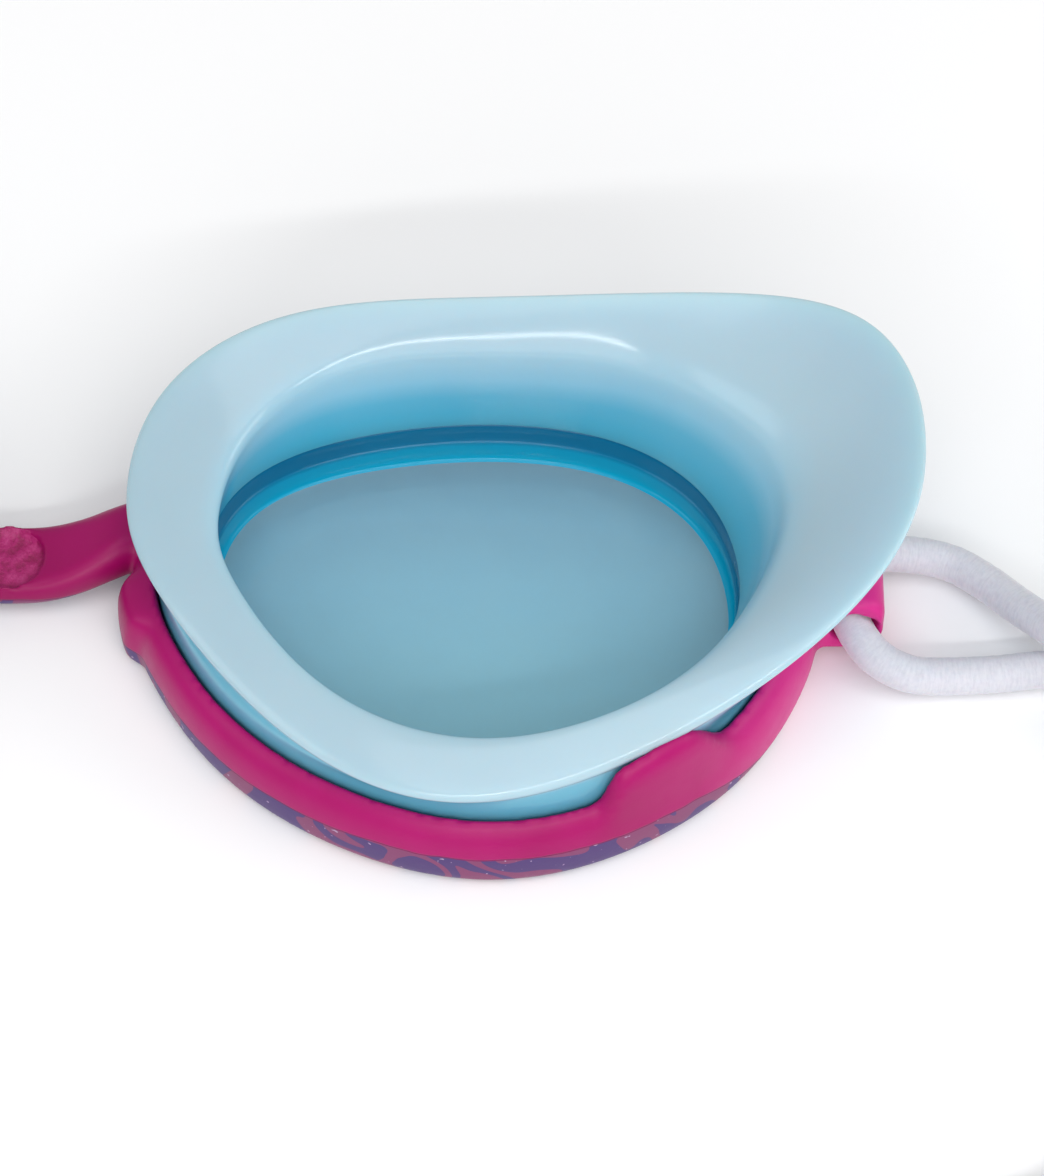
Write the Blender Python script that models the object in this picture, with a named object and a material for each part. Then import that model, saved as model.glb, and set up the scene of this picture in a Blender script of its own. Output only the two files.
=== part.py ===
"""Child's swim goggles lying on their front rims, rear side up, in metres with +Z up.

+X is the wearer's right, +Y the brow side, +Z towards the face. X = 0 is the plane of symmetry
of the eyecups. The frame is one flexible moulding: two lens rings, a nose bridge and an eyelet
at each temple. Each ring holds a clear hard lens cup, and a soft face gasket sits on the cup.
One elastic cord runs through both eyelets and both of its ends pass through a spring cord lock.
"""
import math

import bmesh
import bpy
import numpy as np
from mathutils import Vector

MM = 0.001

# Eyecup: curves given as stations round the cup, in millimetres from the cup's datum, starting at
# the temple and going over the brow to the nose and back under the eye.
CUP_X = 38.2
RIM_WALL = 6.0          # depth from the frame's outer girth in to the lens window's edge
GIRTH = [(26.0, 2.0), (23.6, 11.3), (14.8, 18.9), (1.0, 22.1), (-12.8, 19.9), (-23.6, 12.8),
         (-28.3, 3.6), (-25.7, -5.6), (-17.0, -15.9), (0.0, -22.1), (16.0, -16.2), (23.6, -6.8)]
WINDOW = [(19.4, 1.0), (17.4, 8.4), (10.9, 14.2), (1.0, 16.3), (-10.0, 15.2), (-18.6, 11.2),
          (-22.0, 4.2), (-20.0, -3.6), (-13.0, -11.3), (0.0, -16.2), (11.9, -12.2), (17.9, -5.0)]
# gasket: outer wall half way up, inner crest of the face lip, outer edge of the face lip
FLANK = [(26.4, 2.5, 14.0), (25.0, 11.0, 14.5), (16.0, 18.2, 14.5), (1.2, 20.2, 14.0),
         (-12.0, 19.0, 13.5), (-22.8, 13.2, 12.0), (-26.2, 4.6, 10.2), (-23.9, -4.5, 8.9),
         (-15.6, -14.4, 8.3), (0.0, -19.9, 8.2), (14.9, -14.7, 9.0), (22.9, -6.2, 11.5)]
CREST = [(23.0, 2.5, 15.0), (21.5, 9.0, 16.0), (13.0, 15.5, 15.5), (1.0, 17.2, 15.0),
         (-10.5, 16.8, 14.5), (-18.2, 11.8, 13.5), (-20.8, 4.0, 12.5), (-19.0, -2.6, 12.0),
         (-12.0, -11.5, 11.5), (0.0, -15.9, 11.5), (12.7, -12.2, 12.4), (19.8, -5.0, 13.5)]
LIP = [(33.2, 4.0, 22.0), (31.4, 13.3, 21.5), (23.0, 19.3, 20.4), (3.0, 20.8, 18.5),
       (-15.0, 20.4, 17.0), (-25.5, 15.0, 14.2), (-28.3, 6.5, 12.0), (-25.5, -2.3, 10.9),
       (-15.0, -15.0, 9.9), (0.0, -20.5, 9.7), (17.6, -13.9, 12.0), (30.0, -5.6, 19.0)]
STATIONS = 60

# Frame ring section: (depth in from the girth, height)
RING_SECTION = [(0.9, 0.0), (0.25, 0.4), (0.0, 1.3), (0.0, 2.6), (0.25, 4.2), (0.75, 5.3),
                (1.25, 5.6), (1.7, 5.4), (1.9, 4.8), (1.9, 1.2), (4.5, 1.1), (4.7, 0.7), (4.4, 0.0)]
TAB_AT = 9.95           # station number of the lens retaining tab on the ring's rear lip
TAB_HALF = 0.42         # its half width in stations
TAB_RISE = 3.6

# Lens cup: (depth, height) from the bottom cap up, over the wall and down to the window
LENS_SECTION = [(2.4, 1.5), (2.4, 2.9), (4.0, 2.95), (4.05, 7.2), (5.9, 7.2), (6.35, 3.2)]

# Gasket skirt over the lens wall
SKIRT_OUT, SKIRT_IN = 2.2, 3.7
SKIRT_FOOT, BOWL_FOOT = 3.3, 7.6
LIP_THICK = 1.3

# Nose bridge: x, centre y, centre z, half height, half thickness
BRIDGE = [(0.0, 6.3, 2.05, 3.3, 1.35), (3.2, 6.3, 2.3, 3.25, 1.4), (6.0, 6.7, 2.9, 3.1, 1.7),
          (8.4, 7.5, 3.4, 2.9, 2.15), (10.2, 8.2, 3.5, 2.8, 2.2), (12.5, 8.6, 3.5, 2.8, 2.2)]
GATE_R, GATE_DEPTH = 2.5, 0.7

# Temple eyelet: a short sleeve round the cord, outside each ring
EYELET_X = (61.0, 69.2)
EYELET_Y = (-0.9, 4.9)
EYELET_Z = (0.8, 6.9)
EYELET_BORE_R = 1.9

# Elastic cord: route of its centre line, from the end under the nose on the wearer's right
CORD_R = 1.5
EYELET_TURN = [(73.6, -3.9, 1.5), (70.9, -3.9, 1.9), (68.4, -2.9, 2.7), (66.7, -0.8, 3.6),
               (66.0, 2.0, 3.9), (66.7, 4.8, 3.6), (68.5, 6.7, 2.9), (71.1, 7.4, 2.1),
               (74.7, 6.9, 1.6)]
INNER_SIDE = [(48.0, -51.6, 1.5), (69.5, -51.6, 1.5), (78.4, -50.6, 1.5), (84.1, -46.6, 1.5),
              (87.1, -39.0, 1.5), (88.0, -28.0, 1.5), (87.9, -17.4, 1.5), (87.4, -12.6, 2.0),
              (86.4, -8.8, 3.2), (85.1, -5.6, 4.4), (83.5, -2.9, 4.7), (81.6, -0.3, 3.6),
              (79.6, 2.2, 2.6), (77.4, 4.8, 1.9)]
OUTER_SIDE = [(77.6, -3.7, 1.5), (81.6, -3.25, 1.5), (84.8, -3.35, 1.5), (88.0, -4.8, 1.5),
              (90.5, -7.8, 1.5), (91.6, -12.0, 1.5), (91.8, -18.0, 1.5), (91.8, -30.0, 1.5),
              (91.0, -41.0, 1.5), (88.0, -49.0, 1.5), (82.3, -53.8, 1.5), (74.0, -55.2, 1.5),
              (48.0, -55.2, 1.5), (24.0, -55.2, 1.5)]
RIGHT_END = [(-10.8, -13.2, 2.3), (-11.1, -17.0, 2.3), (-11.8, -20.6, 2.6), (-12.5, -23.4, 3.4),
             (-12.95, -26.1, 4.05), (-13.0, -28.8, 4.15), (-13.0, -35.0, 4.15),
             (-13.0, -39.5, 4.15), (-13.0, -43.4, 4.15), (-12.1, -47.0, 3.6), (-9.2, -50.2, 2.4),
             (-4.5, -51.6, 1.5), (8.0, -51.6, 1.5), (28.0, -51.6, 1.5)]
LEFT_END = [(-28.0, -51.6, 1.5), (-23.0, -51.4, 2.2), (-17.9, -49.9, 4.6), (-14.3, -47.2, 6.8),
            (-13.0, -43.8, 7.5), (-13.0, -39.5, 7.5), (-13.0, -35.0, 7.5), (-13.0, -28.6, 7.5),
            (-13.2, -26.3, 7.35), (-14.2, -24.0, 6.4), (-15.5, -22.0, 4.7), (-16.3, -19.9, 3.1),
            (-17.0, -16.0, 2.4)]

# Cord lock, lying on its side with the button towards -X; the cords pass through it along Y
LOCK_AT = (-13.0, -35.0)
LOCK_X = (-6.5, 9.5)
LOCK_Y, LOCK_Z, LOCK_ROUND = 9.0, 11.6, 3.0
CAVITY_Y, CAVITY_Z, CAVITY_ROUND = 6.2, 9.4, 2.6
CAVITY_END = 8.1
SLOT_X, SLOT_Z = 3.6, 6.9
RUN = 0.3               # clearance round the plunger
PRESS = 2.5             # plunger travel
WEB = 1.2
BUTTON_Y, BUTTON_Z, BUTTON_LONG = 8.2, 10.4, 2.3
SPRING_R, SPRING_WIRE_R, SPRING_TURNS = 2.1, 0.25, 5

TIP_R, TIP_BORE_R, TIP_LONG, TIP_DEPTH = 2.2, 1.75, 4.6, 3.0


def clear_scene():
    for obj in list(bpy.data.objects):
        bpy.data.objects.remove(obj, do_unlink=True)


def material(name, colour, roughness, alpha=1.0):
    mat = bpy.data.materials.new(name)
    mat.use_nodes = True
    shader = mat.node_tree.nodes["Principled BSDF"]
    shader.inputs["Base Color"].default_value = (*colour, 1.0)
    shader.inputs["Roughness"].default_value = roughness
    shader.inputs["Metallic"].default_value = 0.0
    shader.inputs["Alpha"].default_value = alpha
    return mat


def add(name, verts, faces, mat=None, smooth_angle=42.0):
    """A closed mesh object with its faces turned outwards; positions in millimetres."""
    mesh = bpy.data.meshes.new(name)
    mesh.from_pydata([tuple(float(c) * MM for c in v) for v in verts], [], faces)
    bm = bmesh.new()
    bm.from_mesh(mesh)
    bmesh.ops.recalc_face_normals(bm, faces=bm.faces)
    bm.to_mesh(mesh)
    bm.free()
    mesh.polygons.foreach_set("use_smooth", [True] * len(mesh.polygons))
    mesh.set_sharp_from_angle(angle=math.radians(smooth_angle))
    obj = bpy.data.objects.new(name, mesh)
    bpy.context.collection.objects.link(obj)
    if mat:
        mesh.materials.append(mat)
    return obj


def tool(obj):
    """Marks a cutter or a piece that is only joined into another."""
    obj.hide_render = True
    obj.display_type = "WIRE"
    return obj


def boolean(obj, other, operation):
    mod = obj.modifiers.new(f"{operation.lower()}_{other.name}", "BOOLEAN")
    mod.operation = operation
    mod.solver = "EXACT"
    mod.object = other
    return mod


def closed_curve(stations, count):
    """Smooth closed curve through the stations, read at count even steps."""
    p = np.asarray(stations, float)
    m = len(p)
    lhs = np.zeros((m, m))
    for i in range(m):
        lhs[i, i] = 4.0
        lhs[i, (i - 1) % m] = 1.0
        lhs[i, (i + 1) % m] = 1.0
    slope = np.linalg.solve(lhs, 3.0 * (np.roll(p, -1, 0) - np.roll(p, 1, 0)))
    t = np.arange(count) * m / count
    i = t.astype(int)
    u = (t - i)[:, None]
    j = (i + 1) % m
    return ((2 * u**3 - 3 * u**2 + 1) * p[i] + (u**3 - 2 * u**2 + u) * slope[i]
            + (3 * u**2 - 2 * u**3) * p[j] + (u**3 - u**2) * slope[j])


def open_curve(points, per_span=24):
    """Smooth open curve through points, finely read."""
    p = np.asarray(points, float)
    gap = np.sqrt(np.linalg.norm(np.diff(p, axis=0), axis=1))
    knots = np.r_[0.0, np.cumsum(gap)]
    slope = np.zeros_like(p)
    for i in range(1, len(p) - 1):
        before = (p[i] - p[i - 1]) / gap[i - 1]
        after = (p[i + 1] - p[i]) / gap[i]
        slope[i] = (before * gap[i] + after * gap[i - 1]) / (gap[i] + gap[i - 1])
    slope[0] = (p[1] - p[0]) / gap[0]
    slope[-1] = (p[-1] - p[-2]) / gap[-1]
    out = []
    for i in range(len(p) - 1):
        h = knots[i + 1] - knots[i]
        for u in np.arange(per_span) / per_span:
            out.append((2 * u**3 - 3 * u**2 + 1) * p[i] + (u**3 - 2 * u**2 + u) * h * slope[i]
                       + (3 * u**2 - 2 * u**3) * p[i + 1] + (u**3 - u**2) * h * slope[i + 1])
    out.append(p[-1])
    return np.array(out)


def spaced(fine, least, most):
    """Reads a fine curve at steps that follow its bends, no lower than the surface it lies on."""
    step = np.linalg.norm(np.diff(fine, axis=0), axis=1)
    way = np.diff(fine, axis=0) / step[:, None]
    turn = np.linalg.norm(np.diff(way, axis=0), axis=1)
    bend = np.r_[0.0, turn / (0.5 * (step[1:] + step[:-1])), 0.0]
    bend = np.convolve(np.pad(bend, 8, mode="edge"), np.ones(17) / 17.0, mode="valid")
    mid = 0.5 * (bend[1:] + bend[:-1])
    want = np.clip(0.62 / np.maximum(mid, 1e-6), least, most)
    need = np.r_[0.0, np.cumsum(step / want)]
    count = int(math.ceil(need[-1]))
    reads = np.linspace(0.0, need[-1], count + 1)
    points = np.stack([np.interp(reads, need, fine[:, k]) for k in range(3)], axis=1)
    points[:, 2] = np.maximum(points[:, 2], CORD_R)
    return points


def rounded(width, height, radius, steps=3):
    """Rounded rectangle about the origin, anticlockwise."""
    out = []
    for cx, cy, start in ((1, 1, 0), (-1, 1, 90), (-1, -1, 180), (1, -1, 270)):
        for k in range(steps + 1):
            a = math.radians(start + 90.0 * k / steps)
            out.append((cx * (width / 2 - radius) + radius * math.cos(a),
                        cy * (height / 2 - radius) + radius * math.sin(a)))
    return np.array(out)


def stack(sections):
    """Verts and faces of closed outlines joined in order, capped at both ends."""
    n = len(sections[0])
    verts = [tuple(v) for s in sections for v in s]
    faces = [list(range(n))[::-1]]
    for i in range(len(sections) - 1):
        for k in range(n):
            a = i * n + k
            b = i * n + (k + 1) % n
            faces.append([a, b, b + n, a + n])
    faces.append([(len(sections) - 1) * n + k for k in range(n)])
    return verts, faces


def hoop(sections):
    """Verts and faces of closed sections joined in order and back to the first."""
    n = len(sections[0])
    m = len(sections)
    verts = [tuple(v) for s in sections for v in s]
    faces = []
    for i in range(m):
        for k in range(n):
            a = i * n + k
            b = i * n + (k + 1) % n
            c = ((i + 1) % m) * n + (k + 1) % n
            d = ((i + 1) % m) * n + k
            faces.append([a, b, c, d])
    return verts, faces


def tube(points, radius, sides):
    """Tube of one radius along points, with flat ends, as sections for stack()."""
    p = np.asarray(points, float)
    way = np.gradient(p, axis=0)
    way /= np.linalg.norm(way, axis=1)[:, None]
    up = np.array([0.0, 0.0, 1.0]) if abs(way[0][2]) < 0.9 else np.array([0.0, 1.0, 0.0])
    sections = []
    for centre, d in zip(p, way):
        side = np.cross(d, up)
        side /= np.linalg.norm(side)
        up = np.cross(side, d)
        sections.append([centre + radius * (math.cos(a) * side + math.sin(a) * up)
                         for a in np.arange(sides) * 2 * math.pi / sides])
    return sections


def at_depth(depth, z):
    """The cup outline a stated depth in from the girth, at height z, datum at the cup."""
    flat = GIRTH_CURVE + (WINDOW_CURVE - GIRTH_CURVE) * (depth / RIM_WALL)
    return np.c_[flat, np.broadcast_to(z, len(flat))]


def placed(points, side):
    """Moves a cup outline from its datum to the right (side 1) or mirrored left (side -1) cup."""
    p = np.array(points, float)
    p[:, 0] = side * (p[:, 0] + CUP_X)
    return p


def swap(rings):
    """Turns outlines round the cup into sections across it."""
    return [[ring[i] for ring in rings] for i in range(len(rings[0]))]


def ring_solid(name, side, mat=None):
    t = np.arange(STATIONS) * len(GIRTH) / STATIONS
    rise = TAB_RISE * np.clip(1.0 - ((t - TAB_AT) / TAB_HALF) ** 4, 0.0, 1.0)
    rings = []
    for depth, z in RING_SECTION:
        rings.append(placed(at_depth(depth, z + (rise if z > 5.0 else 0.0)), side))
    return add(name, *hoop(swap(rings)), mat)


def lens_solid(name, side, mat):
    rings = [placed(at_depth(depth, z), side) for depth, z in LENS_SECTION]
    return add(name, *stack(rings), mat)


def gasket_solid(name, side, mat):
    flank = closed_curve(FLANK, STATIONS)
    crest = closed_curve(CREST, STATIONS)
    lip = closed_curve(LIP, STATIONS)
    foot = at_depth(RIM_WALL, BOWL_FOOT)
    under = lip + 0.10 * (crest - lip)
    under[:, 2] -= LIP_THICK
    rings = [at_depth(SKIRT_OUT, SKIRT_FOOT), at_depth(SKIRT_OUT, 6.0), at_depth(SKIRT_OUT, 7.4),
             flank, 0.5 * (flank + under), under, lip, lip + 0.35 * (crest - lip) + [0, 0, 0.25],
             lip + 0.7 * (crest - lip) + [0, 0, 0.25], crest, 0.5 * (crest + foot), foot,
             at_depth(SKIRT_IN, BOWL_FOOT), at_depth(SKIRT_IN, SKIRT_FOOT)]
    return add(name, *hoop(swap([placed(r, side) for r in rings])), mat)


def cord_route():
    """Hand-chosen centre line of the whole cord, end to end."""
    def mirror(points):
        return [(-x, y, z) for x, y, z in reversed(points)]

    turn = EYELET_TURN[::-1]
    back = OUTER_SIDE + [(0.0, -55.2, 1.5)] + mirror(OUTER_SIDE)
    return (RIGHT_END + INNER_SIDE + turn + back
            + mirror(turn) + mirror(INNER_SIDE) + LEFT_END)


def bridge_solid():
    half = [(x, y, z, h, t) for x, y, z, h, t in BRIDGE]
    full = [(-x, y, z, h, t) for x, y, z, h, t in reversed(half[1:])] + half
    sections = []
    for x, y, z, h, t in full:
        sections.append([(x, y + a, z + b) for a, b in rounded(2 * h, 2 * t, 0.85 * t, 4)])
    return add("bridge_band", *stack(sections))


def gate_cutter():
    ring = [(GATE_R * math.cos(a), BRIDGE[0][1] + 1.1 * GATE_R * math.sin(a))
            for a in np.arange(24) * math.tau / 24]
    low = BRIDGE[0][2] + BRIDGE[0][4] - GATE_DEPTH
    return add("gate_cutter", *stack([[(x, y, z) for x, y in ring] for z in (low, low + 3.0)]))


def eyelet_solid(name, side):
    wide = EYELET_X[1] - EYELET_X[0]
    tall = EYELET_Z[1] - EYELET_Z[0]
    mid_x = sum(EYELET_X) / 2
    mid_z = sum(EYELET_Z) / 2
    sections = []
    for y, ease in ((EYELET_Y[0], 0.5), (EYELET_Y[0] + 0.5, 0.0),
                    (EYELET_Y[1] - 0.5, 0.0), (EYELET_Y[1], 0.5)):
        outline = rounded(wide - ease, tall - ease, 1.8, 4)
        sections.append([(side * (mid_x + a), y, mid_z + b) for a, b in outline])
    return add(name, *stack(sections))


def build_frame(mat, bend):
    frame = ring_solid("frame", 1, mat)
    left = tool(ring_solid("ring_left", -1))
    band = tool(bridge_solid())
    sleeves = [tool(eyelet_solid("eyelet_right", 1)), tool(eyelet_solid("eyelet_left", -1))]
    for side, word in ((1, "right"), (-1, "left")):
        core = [placed(at_depth(1.1, z), side) for z in (-2.0, 25.0)]
        pocket = tool(add(f"pocket_{word}", *stack(core)))
        boolean(band, pocket, "DIFFERENCE")
        boolean(sleeves[0 if side == 1 else 1], pocket, "DIFFERENCE")
        path = [(side * x, y, z) for x, y, z in bend]
        bore = tool(add(f"bore_{word}", *stack(tube(path, EYELET_BORE_R, 16))))
        boolean(sleeves[0 if side == 1 else 1], bore, "DIFFERENCE")
    boolean(band, tool(gate_cutter()), "DIFFERENCE")
    for piece in (left, band, *sleeves):
        boolean(frame, piece, "UNION")
    return frame


def build_cord(mat, points):
    curve = bpy.data.curves.new("bungee_cord", "CURVE")
    curve.dimensions = "3D"
    curve.bevel_depth = CORD_R * MM
    curve.bevel_resolution = 2
    curve.render_resolution_u = 0
    curve.use_fill_caps = True
    spline = curve.splines.new("POLY")
    spline.points.add(len(points) - 1)
    for slot, p in zip(spline.points, points):
        slot.co = (*(float(c) * MM for c in p), 1.0)
    curve.materials.append(mat)
    obj = bpy.data.objects.new("bungee_cord", curve)
    bpy.context.collection.objects.link(obj)
    return obj


def along_x(spans, origin):
    """Sections along -X for stack(): each span is (x, width in Y, height in Z, corner radius)."""
    ox, oy, oz = origin
    return [[(ox + x, oy + a, oz + b) for a, b in rounded(w, h, r)] for x, w, h, r in spans]


def build_lock(body_mat, button_mat, spring_mat):
    origin = (LOCK_AT[0], LOCK_AT[1], LOCK_Z / 2)
    lo, hi = LOCK_X
    body = add("cord_lock_body", *stack(along_x(
        [(lo, LOCK_Y - 0.8, LOCK_Z - 0.8, LOCK_ROUND - 0.4), (lo + 0.5, LOCK_Y, LOCK_Z, LOCK_ROUND),
         (hi - 1.4, LOCK_Y, LOCK_Z, LOCK_ROUND), (hi - 0.5, LOCK_Y - 0.7, LOCK_Z - 0.7, LOCK_ROUND),
         (hi, LOCK_Y - 2.2, LOCK_Z - 2.2, LOCK_ROUND - 0.8)], origin)), body_mat)
    cavity = tool(add("lock_cavity", *stack(along_x(
        [(lo - 2.0, CAVITY_Y, CAVITY_Z, CAVITY_ROUND), (CAVITY_END, CAVITY_Y, CAVITY_Z, CAVITY_ROUND)],
        origin))))
    boolean(body, cavity, "DIFFERENCE")
    slot = rounded(SLOT_X, SLOT_Z, SLOT_X / 2 - 0.01, 5)
    window = tool(add("lock_window", *stack(
        [[(origin[0] + a, y, origin[2] + b) for a, b in slot]
         for y in (origin[1] - LOCK_Y, origin[1] + LOCK_Y)])))
    boolean(body, window, "DIFFERENCE")

    wide, tall = CAVITY_Y - 2 * RUN, CAVITY_Z - 2 * RUN
    inner = SLOT_X / 2
    web_end = inner + WEB
    neck = lo - PRESS - RUN
    plunger = add("cord_lock_plunger", *stack(along_x(
        [(neck - BUTTON_LONG, BUTTON_Y - 1.6, BUTTON_Z - 1.6, 2.4),
         (neck - BUTTON_LONG + 0.5, BUTTON_Y - 0.4, BUTTON_Z - 0.4, 2.8),
         (neck - BUTTON_LONG + 1.1, BUTTON_Y, BUTTON_Z, 3.0), (neck, BUTTON_Y, BUTTON_Z, 3.0),
         (neck + 0.01, wide, tall, CAVITY_ROUND - RUN), (web_end, wide, tall, CAVITY_ROUND - RUN)],
        origin)), button_mat)
    hole = rounded(SLOT_X + PRESS, SLOT_Z, SLOT_X / 2 - 0.01, 5)
    passage = tool(add("plunger_window", *stack(
        [[(origin[0] - PRESS / 2 + a, y, origin[2] + b) for a, b in hole]
         for y in (origin[1] - LOCK_Y, origin[1] + LOCK_Y)])))
    boolean(plunger, passage, "DIFFERENCE")

    start, end = web_end + SPRING_WIRE_R + 0.05, CAVITY_END - SPRING_WIRE_R - 0.05
    turns = np.linspace(0.0, SPRING_TURNS, SPRING_TURNS * 12 + 1)
    helix = [(origin[0] + start + (end - start) * t / SPRING_TURNS,
              origin[1] + SPRING_R * math.cos(math.tau * t),
              origin[2] + SPRING_R * math.sin(math.tau * t)) for t in turns]
    spring = add("cord_lock_spring", *stack(tube(helix, SPRING_WIRE_R, 6)), spring_mat, 80.0)
    return body, plunger, spring


def build_tip(name, end, before, mat):
    """Thimble over a cord end: open towards the cord, domed at the far side."""
    axis = Vector(end) - Vector(before)
    axis.normalize()
    out = Vector((0, 0, 1)).cross(axis).normalized()
    up = axis.cross(out)
    base = Vector(end) - axis * (TIP_DEPTH - 0.3)
    profile = [(0.0, TIP_BORE_R), (0.0, TIP_R - 0.15), (0.2, TIP_R), (TIP_LONG - 0.9, TIP_R),
               (TIP_LONG - 0.3, TIP_R - 0.5), (TIP_LONG, TIP_R - 1.3)]
    count = 20
    angles = [math.tau * k / count for k in range(count)]
    sections = [[base + axis * s + (out * math.cos(a) + up * math.sin(a)) * r for a in angles]
                for s, r in [(TIP_DEPTH, TIP_BORE_R)] + profile]
    return add(name, *stack(sections), mat)


clear_scene()
GIRTH_CURVE = closed_curve(GIRTH, STATIONS)
WINDOW_CURVE = closed_curve(WINDOW, STATIONS)

magenta = material("frame_magenta", (0.50, 0.012, 0.16), 0.42)
clear_blue = material("lens_clear_blue", (0.20, 0.52, 0.68), 0.08, 0.4)
soft_blue = material("gasket_soft_blue", (0.46, 0.68, 0.77), 0.40)
white_cord = material("cord_white", (0.78, 0.78, 0.82), 0.85)
lock_white = material("lock_white", (0.80, 0.80, 0.82), 0.35)
lock_pink = material("lock_pink", (0.50, 0.012, 0.16), 0.38)
steel = material("spring_steel", (0.60, 0.60, 0.60), 0.30)
steel.node_tree.nodes["Principled BSDF"].inputs["Metallic"].default_value = 1.0
tip_pink = material("tip_pink", (0.50, 0.012, 0.16), 0.40)

build_frame(magenta, open_curve(EYELET_TURN, 3))
for side, word in ((1, "right"), (-1, "left")):
    lens_solid(f"lens_{word}", side, clear_blue)
    gasket_solid(f"gasket_{word}", side, soft_blue)

cord = spaced(open_curve(cord_route()), 2.8, 12.0)
build_cord(white_cord, cord)
build_lock(lock_white, lock_pink, steel)
build_tip("cord_tip_right", cord[0], cord[1], tip_pink)
build_tip("cord_tip_left", cord[-1], cord[-2], tip_pink)
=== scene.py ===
"""Looks of a child's swim goggles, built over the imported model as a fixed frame.

Sizes here are in millimetres in the model's own frame and are turned into metres when a mesh is
made. +X is the wearer's right, +Y the brow side and +Z towards the face.
"""
import math

import bmesh
import bpy
import numpy as np
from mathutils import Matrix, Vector


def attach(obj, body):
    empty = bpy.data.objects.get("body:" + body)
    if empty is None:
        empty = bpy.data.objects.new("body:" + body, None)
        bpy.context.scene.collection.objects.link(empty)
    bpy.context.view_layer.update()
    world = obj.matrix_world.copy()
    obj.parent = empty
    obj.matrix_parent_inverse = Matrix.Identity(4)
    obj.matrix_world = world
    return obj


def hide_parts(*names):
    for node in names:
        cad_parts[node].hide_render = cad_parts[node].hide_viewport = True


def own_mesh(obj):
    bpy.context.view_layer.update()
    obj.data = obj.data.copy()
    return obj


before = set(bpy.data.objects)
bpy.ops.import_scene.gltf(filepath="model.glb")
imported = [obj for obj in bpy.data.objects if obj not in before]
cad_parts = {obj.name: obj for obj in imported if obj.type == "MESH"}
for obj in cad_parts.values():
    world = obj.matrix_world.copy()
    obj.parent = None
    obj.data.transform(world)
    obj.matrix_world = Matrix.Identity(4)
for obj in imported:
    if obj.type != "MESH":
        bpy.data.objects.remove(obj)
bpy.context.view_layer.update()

MM = 0.001
CUP_X = 38.2            # datum of the right eyecup
RIM_WALL = 6.0          # depth from the frame's girth in to the lens window's edge

# Stations round the cup from the temple, over the brow, to the nose and back under the eye
GIRTH = [(26.0, 2.0), (23.6, 11.3), (14.8, 18.9), (1.0, 22.1), (-12.8, 19.9), (-23.6, 12.8),
         (-28.3, 3.6), (-25.7, -5.6), (-17.0, -15.9), (0.0, -22.1), (16.0, -16.2), (23.6, -6.8)]
WINDOW = [(19.4, 1.0), (17.4, 8.4), (10.9, 14.2), (1.0, 16.3), (-10.0, 15.2), (-18.6, 11.2),
          (-22.0, 4.2), (-20.0, -3.6), (-13.0, -11.3), (0.0, -16.2), (11.9, -12.2), (17.9, -5.0)]
FLANK = [(26.4, 2.5, 14.0), (25.0, 11.0, 14.5), (16.0, 18.2, 14.5), (1.2, 20.2, 14.0),
         (-12.0, 19.0, 13.5), (-22.8, 13.2, 12.0), (-26.2, 4.6, 10.2), (-23.9, -4.5, 8.9),
         (-15.6, -14.4, 8.3), (0.0, -19.9, 8.2), (14.9, -14.7, 9.0), (22.9, -6.2, 11.5)]
CREST = [(23.0, 2.5, 15.0), (21.5, 9.0, 16.0), (13.0, 15.5, 15.5), (1.0, 17.2, 15.0),
         (-10.5, 16.8, 14.5), (-18.2, 11.8, 13.5), (-20.8, 4.0, 12.5), (-19.0, -2.6, 12.0),
         (-12.0, -11.5, 11.5), (0.0, -15.9, 11.5), (12.7, -12.2, 12.4), (19.8, -5.0, 13.5)]
LIP = [(33.2, 4.0, 22.0), (31.4, 13.3, 21.5), (23.0, 19.3, 20.4), (3.0, 20.8, 18.5),
       (-15.0, 20.4, 17.0), (-25.5, 15.0, 14.2), (-28.3, 6.5, 12.0), (-25.5, -2.3, 10.9),
       (-15.0, -15.0, 9.9), (0.0, -20.5, 9.7), (17.6, -13.9, 12.0), (30.0, -5.6, 19.0)]

# Elastic cord: the route of the CAD cord, end to end
CORD_R = 1.5
EYELET_TURN = [(73.6, -3.9, 1.5), (70.9, -3.9, 1.9), (68.4, -2.9, 2.7), (66.7, -0.8, 3.6),
               (66.0, 2.0, 3.9), (66.7, 4.8, 3.6), (68.5, 6.7, 2.9), (71.1, 7.4, 2.1),
               (74.7, 6.9, 1.6)]
INNER_SIDE = [(48.0, -51.6, 1.5), (69.5, -51.6, 1.5), (78.4, -50.6, 1.5), (84.1, -46.6, 1.5),
              (87.1, -39.0, 1.5), (88.0, -28.0, 1.5), (87.9, -17.4, 1.5), (87.4, -12.6, 2.0),
              (86.4, -8.8, 3.2), (85.1, -5.6, 4.4), (83.5, -2.9, 4.7), (81.6, -0.3, 3.6),
              (79.6, 2.2, 2.6), (77.4, 4.8, 1.9)]
OUTER_SIDE = [(77.6, -3.7, 1.5), (81.6, -3.25, 1.5), (84.8, -3.35, 1.5), (88.0, -4.8, 1.5),
              (90.5, -7.8, 1.5), (91.6, -12.0, 1.5), (91.8, -18.0, 1.5), (91.8, -30.0, 1.5),
              (91.0, -41.0, 1.5), (88.0, -49.0, 1.5), (82.3, -53.8, 1.5), (74.0, -55.2, 1.5),
              (48.0, -55.2, 1.5), (24.0, -55.2, 1.5)]
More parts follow.
